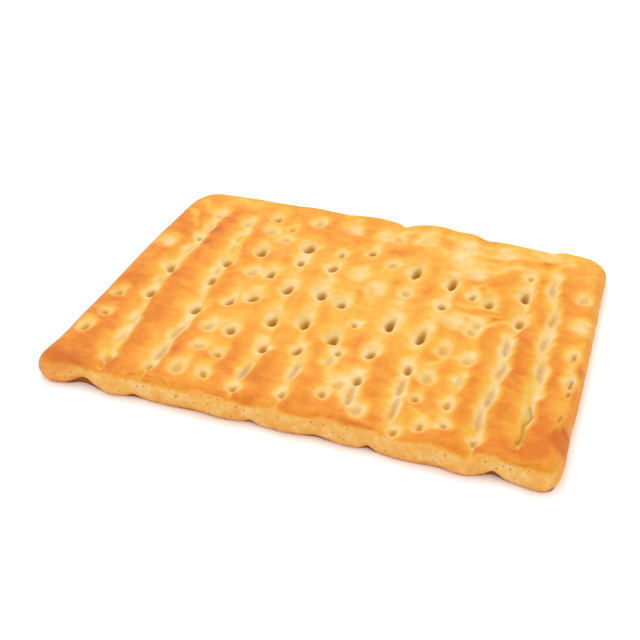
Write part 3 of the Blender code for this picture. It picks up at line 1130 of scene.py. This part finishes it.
        places = np.concatenate(points)
        rim_share = np.zeros(len(places))
        rim_share[:u.size] = self.outline.inward(u, v).ravel()
        middle = (places.max(axis=0) + places.min(axis=0)) / 2.0
        mesh = bpy.data.meshes.new("focaccia_sheet")
        mesh.from_pydata(((places - (middle[0], middle[1], 0.0)) * MM).tolist(), [], surface.faces)
        marks = self.marks.read(places, rim_share, np.concatenate(downs), self.outline, self.relief)
        for mark, values in marks.items():
            attribute = mesh.attributes.new(mark.value, "FLOAT", "POINT")
            attribute.data.foreach_set("value", np.clip(values, 0.0, 1.0).astype(np.float32))
        mesh.shade_smooth()
        mesh.update()
        sheet = bpy.data.objects.new("focaccia_sheet", mesh)
        bpy.context.scene.collection.objects.link(sheet)
        return sheet


def linear(code: str) -> tuple[float, float, float, float]:
    """Turns an sRGB hex code to the linear colour that shaders take.

    Args:
        code: six hex digits, such as F1903F.

    Returns:
        Red, green, blue and an alpha of 1.
    """
    parts = np.array([int(code[n:n + 2], 16) for n in (0, 2, 4)]) / 255.0
    straight = np.where(parts <= 0.04045, parts / 12.92, ((parts + 0.055) / 1.055) ** 2.4)
    return (*straight.tolist(), 1.0)


def add_node(tree: bpy.types.NodeTree, kind: str, settings: dict[str, Any], inputs: dict[Any, Any]) -> Any:
    """Adds a shader node, sets its properties and fills or links its inputs.

    Args:
        tree: the node tree.
        kind: the node's type, such as ShaderNodeMix.
        settings: property names and values.
        inputs: input names or numbers, each with a value or the output socket to link.

    Returns:
        The new node.
    """
    node = tree.nodes.new(kind)
    for name, value in settings.items():
        setattr(node, name, value)
    for name, value in inputs.items():
        if isinstance(value, bpy.types.NodeSocket):
            tree.links.new(value, node.inputs[name])
        else:
            node.inputs[name].default_value = value
    return node


@dataclass(frozen=True)
class Coat:
    """A colour laid over the crust: its hex code, and how well it covers where its mark is 1."""

    code: str
    most: float


@dataclass(frozen=True)
class Mottle:
    """Noise in the crust: how wide it is in millimetres, its detail, and its share of the browning."""

    width: float
    detail: float
    share: float


@dataclass(frozen=True)
class Pores:
    """Burst bubbles: the mark they lie in, their spacing in millimetres, their radius for it, their coat."""

    mark: Mark
    spacing: float
    radius: float
    coat: Coat


@dataclass(frozen=True)
class BakedCrust:
    """Olive-oil flatbread, oven-baked: a browned matt crust over pale, moist, open dough.

    Args:
        ramp: the crust's colours as it browns, each with how brown it is.
        coats: what lies over them where a mark is high: the side, which the tray's wall kept from
        browning, the scorched spots, which also carry the painted shade inside the arches, the inside of
        a bowl, a painted highlight on the pale lip round it, the thin grey floor of a poke, the moist
        dough at the bottom of a hole darkened with painted shade, and olive oil over pale dough.
        crack_and_arch_shade: the painted shade inside the splits in the crust and inside the arches under the
            front edge.
        side_pores: the open bubbles of the side.
        floor_pores: the bubbles in the thin floors.
        reflectance: scales all the colours.
        blotch: the crust's blotches.
        grain: its finest grain.
        crumb: the lumps of the rough side.
        crinkle: the fine wrinkles, with their width across.
        crinkle_length: how long the wrinkles are, in millimetres.
        bumps: how high wrinkles, pores and crumb stand, where the grain stands 1.
        bump_height: how high the bump is, in millimetres.
        bump_strength: how strongly it turns the light.
        roughness: the crust's own roughness.
        oil_gloss: what a pool of oil adds to the roughness.
        pit_matt: what a pit adds to it.
        ior: a waxy skin's index of refraction.
        specular: the specular level, low for bread.
    """

    ramp: tuple[tuple[float, str], ...] = (
        (0.0, "FDDEA6"), (0.2, "F9CD7A"), (0.4, "F6B746"), (0.6, "F3A436"), (0.8, "EF9127"), (1.0, "E07A18"),
    )
    # The ring coat paints a highlight, the pit coat paints shade over moist dough, and the scorch coat also
    # paints shade inside the arches.
    coats: tuple[tuple[Mark, Coat], ...] = (
        (Mark.BARE, Coat("FAB569", 0.4)), (Mark.SCORCH, Coat("CC5C0C", 0.9)),
        (Mark.BOWL, Coat("ECBC68", 0.5)), (Mark.RING, Coat("FFE6B6", 0.5)),
        (Mark.STRETCHED, Coat("E2C2A2", 0.7)), (Mark.PIT, Coat("D29000", 0.96)),
        (Mark.OIL, Coat("F2BA00", 0.8)),
    )
    crack_and_arch_shade: Coat = Coat("8E5200", 0.8)
    side_pores: Pores = Pores(Mark.BARE, 4.8, 0.16, Coat("A5651E", 0.6))
    floor_pores: Pores = Pores(Mark.STRETCHED, 2.4, 0.28, Coat("A5651E", 0.5))
    reflectance: float = 0.745
    blotch: Mottle = Mottle(10.0, 4.0, 0.6)
    grain: Mottle = Mottle(1.2, 2.0, 0.36)
    crumb: Mottle = Mottle(3.6, 3.0, 0.7)
    crinkle: Mottle = Mottle(2.6, 2.0, 0.2)
    crinkle_length: float = 14.0
    bumps: tuple[float, float, float] = (0.8, -0.8, 5.0)
    bump_height: float = 0.4
    bump_strength: float = 0.4
    roughness: float = 0.6
    oil_gloss: float = -0.35
    pit_matt: float = 0.3
    ior: float = 1.45
    specular: float = 0.2

    def material(self) -> bpy.types.Material:
        """Builds the finish from the marks on the mesh and fine noise in real millimetres.

        Returns:
            The finished material.
        """
        material = bpy.data.materials.new("oven_baked_focaccia_crust")
        material.use_nodes = True
        tree = material.node_tree
        tree.nodes.clear()
        spot = add_node(tree, "ShaderNodeTexCoord", {}, {}).outputs["Object"]
        marks = {
            mark: add_node(tree, "ShaderNodeAttribute", {"attribute_name": mark.value}, {}).outputs["Fac"]
            for mark in Mark
        }
        blotch, grain, crumb, crinkle = (
            self.noise(tree, spot, mottle, length) for mottle, length in (
                (self.blotch, self.blotch.width), (self.grain, self.grain.width),
                (self.crumb, self.crumb.width), (self.crinkle, self.crinkle_length)))
        crumb = self.math(tree, "MULTIPLY", self.math(tree, "SUBTRACT", crumb, 0.5), marks[Mark.BARE])

        level = marks[Mark.BROWNING]
        for noise, mottle in ((blotch, self.blotch), (crinkle, self.crinkle), (grain, self.grain)):
            level = self.math(tree, "MULTIPLY_ADD", noise, mottle.share, level)
        level = self.math(tree, "MULTIPLY_ADD", crumb, self.crumb.share, level)
        # The noise of the first three is a half on average, which is taken off again.
        added = (self.blotch.share + self.crinkle.share + self.grain.share) / 2.0
        colour = self.browned(tree, self.math(tree, "SUBTRACT", level, added))
        for mark, coat in self.coats:
            colour = self.cover(tree, marks[mark], colour, coat)
        burst = []
        for pores in (self.side_pores, self.floor_pores):
            burst.append(self.math(tree, "MULTIPLY", self.bubbles(tree, spot, pores), marks[pores.mark]))
            colour = self.cover(tree, burst[-1], colour, pores.coat)
        # Painted shade inside the splits in the crust and inside the arches under the front edge.
        colour = self.cover(tree, marks[Mark.CRACK], colour, self.crack_and_arch_shade)

        relief = grain
        for height, source in zip(self.bumps, (crinkle, burst[0], crumb)):
            relief = self.math(tree, "MULTIPLY_ADD", source, height, relief)
        bump = add_node(tree, "ShaderNodeBump", {}, {
            "Strength": self.bump_strength, "Distance": self.bump_height * MM, "Height": relief})
        gloss = self.math(tree, "MULTIPLY_ADD", marks[Mark.OIL], self.oil_gloss, self.roughness)
        gloss = self.math(tree, "MULTIPLY_ADD", marks[Mark.PIT], self.pit_matt, gloss)
        shader = add_node(tree, "ShaderNodeBsdfPrincipled", {}, {
            "Base Color": colour, "Roughness": gloss, "IOR": self.ior, "Specular IOR Level": self.specular,
            "Normal": bump.outputs["Normal"]})
        add_node(tree, "ShaderNodeOutputMaterial", {}, {"Surface": shader.outputs["BSDF"]})
        return material

    def browned(self, tree: bpy.types.NodeTree, level: Any) -> Any:
        """Turns the browning to the crust's colour by a ramp.

        Args:
            tree: the node tree.
            level: the socket of the browning, from 0 to 1.

        Returns:
            The socket of the colour.
        """
        ramp = add_node(tree, "ShaderNodeValToRGB", {}, {"Fac": level})
        stops = ramp.color_ramp.elements
        while len(stops) < len(self.ramp):
            stops.new(1.0)
        for stop, (place, code) in zip(stops, self.ramp):
            stop.position, stop.color = place, self.tint(code)
        return ramp.outputs["Color"]

    def tint(self, code: str) -> tuple[float, float, float, float]:
        """The linear colour of a hex code, scaled by the reflectance."""
        red, green, blue, alpha = linear(code)
        return red * self.reflectance, green * self.reflectance, blue * self.reflectance, alpha

    @staticmethod
    def noise(tree: bpy.types.NodeTree, spot: Any, mottle: Mottle, length: float) -> Any:
        """Adds a noise texture of the mottle's width, drawn out along the sheet.

        Args:
            tree: the node tree.
            spot: the socket of the place, in metres.
            mottle: the noise's width and detail.
            length: how long it is along the sheet, in millimetres.

        Returns:
            The socket of its value.
        """
        wide = 1.0 / (mottle.width * MM)
        scale = (1.0 / (length * MM), wide, wide)
        sized = add_node(tree, "ShaderNodeMapping", {}, {"Vector": spot, "Scale": scale}).outputs["Vector"]
        inputs = {"Vector": sized, "Scale": 1.0, "Detail": mottle.detail}
        return add_node(tree, "ShaderNodeTexNoise", {}, inputs).outputs["Fac"]

    @staticmethod
    def math(tree: bpy.types.NodeTree, operation: str, *values: Any) -> Any:
        """Adds a maths node for the operation on two or three values and returns its socket."""
        node = add_node(tree, "ShaderNodeMath", {"operation": operation}, dict(enumerate(values)))
        return node.outputs[0]

    def bubbles(self, tree: bpy.types.NodeTree, spot: Any, pores: Pores) -> Any:
        """Adds cells with a round bubble in the middle of each, and returns the bubbles' socket."""
        inputs = {"Vector": spot, "Scale": 1.0 / (pores.spacing * MM), "Randomness": 1.0}
        cells = add_node(tree, "ShaderNodeTexVoronoi", {}, inputs)
        return self.math(tree, "LESS_THAN", cells.outputs["Distance"], pores.radius)

    def cover(self, tree: bpy.types.NodeTree, share: Any, under: Any, coat: Coat) -> Any:
        """Lays a coat over a colour where share is high.

        Args:
            tree: the node tree.
            share: the socket that says where, from 0 to 1.
            under: the colour socket below.
            coat: the colour on top.

        Returns:
            The socket of the blended colour.
        """
        amount = self.math(tree, "MULTIPLY", share, coat.most)
        inputs = {0: amount, 6: under, 7: self.tint(coat.code)}
        return add_node(tree, "ShaderNodeMix", {"data_type": "RGBA"}, inputs).outputs[2]


@dataclass
class Studio:
    """A white sweep under a large soft light, and the camera at the photograph's angle.

    Angles are in degrees, the camera's distance and the places are in metres, the lens and its sensor
    are in millimetres, and the lamp's power is in watts.
    """

    azimuth: float = 18.31
    elevation: float = 33.75
    distance: float = 0.8924
    roll: float = 0.72
    lens: float = 58.67
    sensor: float = 36.0
    aim: tuple[float, float, float] = (-0.0191, -0.0055, 0.0)
    paper: str = "FDFDFD"
    paper_roughness: float = 0.9
    floor_half: float = 6.0
    air: float = 1.23
    lamp_place: tuple[float, float, float] = (-0.7, 0.9, 1.5)
    lamp_size: float = 1.2
    lamp_power: float = 11.5

    def floor(self) -> bpy.types.Object:
        """Makes a plain white floor, much wider than the view.

        Returns:
            The floor.
        """
        mesh = bpy.data.meshes.new("studio_floor")
        half = self.floor_half
        corners = [(-half, -half, 0.0), (half, -half, 0.0), (half, half, 0.0), (-half, half, 0.0)]
        mesh.from_pydata(corners, [], [(0, 1, 2, 3)])
        material = bpy.data.materials.new("white_studio_paper")
        material.use_nodes = True
        shader = material.node_tree.nodes["Principled BSDF"]
        shader.inputs["Base Color"].default_value = linear(self.paper)
        shader.inputs["Roughness"].default_value = self.paper_roughness
        mesh.materials.append(material)
        floor = bpy.data.objects.new("studio_floor", mesh)
        bpy.context.scene.collection.objects.link(floor)
        return floor

    def lights(self) -> None:
        """Even white light from all round, with a large soft lamp above the back left."""
        world = bpy.data.worlds.new("studio_air")
        world.use_nodes = True
        background = world.node_tree.nodes["Background"]
        background.inputs["Color"].default_value = (1.0, 1.0, 1.0, 1.0)
        background.inputs["Strength"].default_value = self.air
        bpy.context.scene.world = world
        lamp = bpy.data.lights.new("softbox", "AREA")
        lamp.shape = "DISK"
        lamp.size = self.lamp_size
        lamp.energy = self.lamp_power
        softbox = bpy.data.objects.new("softbox", lamp)
        softbox.location = self.lamp_place
        softbox.rotation_euler = (-softbox.location).to_track_quat("-Z", "Y").to_euler()
        bpy.context.scene.collection.objects.link(softbox)
        bpy.context.scene.view_settings.view_transform = "Standard"

    def camera(self) -> None:
        """Sets the camera by its angles round the aim, then rolls it about its own axis."""
        turn, tilt, roll = np.radians([self.azimuth, self.elevation, self.roll])
        back = np.array([np.sin(turn) * np.cos(tilt), -np.cos(turn) * np.cos(tilt), np.sin(tilt)])
        right = np.array([np.cos(turn), np.sin(turn), 0.0])
        up = np.cross(back, right)
        rolled_right = np.cos(roll) * right + np.sin(roll) * up
        rolled_up = np.cos(roll) * up - np.sin(roll) * right
        place = np.array(self.aim) + self.distance * back
        matrix = np.eye(4)
        matrix[:3, :4] = np.stack([rolled_right, rolled_up, back, place], axis=1)
        data = bpy.data.cameras.new("studio_camera")
        data.lens = self.lens
        data.sensor_width = self.sensor
        camera = bpy.data.objects.new("studio_camera", data)
        bpy.context.scene.collection.objects.link(camera)
        camera.matrix_world = Matrix(matrix.tolist())
        bpy.context.scene.camera = camera


def main() -> None:
    """Builds the sheet and the studio round it, in order."""
    logging.basicConfig(level=logging.INFO, format="%(name)s: %(message)s")
    sheet = FocacciaSheet().build()
    sheet.data.materials.append(BakedCrust().material())
    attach(sheet, "root")
    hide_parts(CAD_NODE)
    log.info("%s has %d faces", sheet.name, len(sheet.data.polygons))

    studio = Studio()
    studio.floor()
    studio.lights()
    studio.camera()


if __name__ == "__main__":
    main()
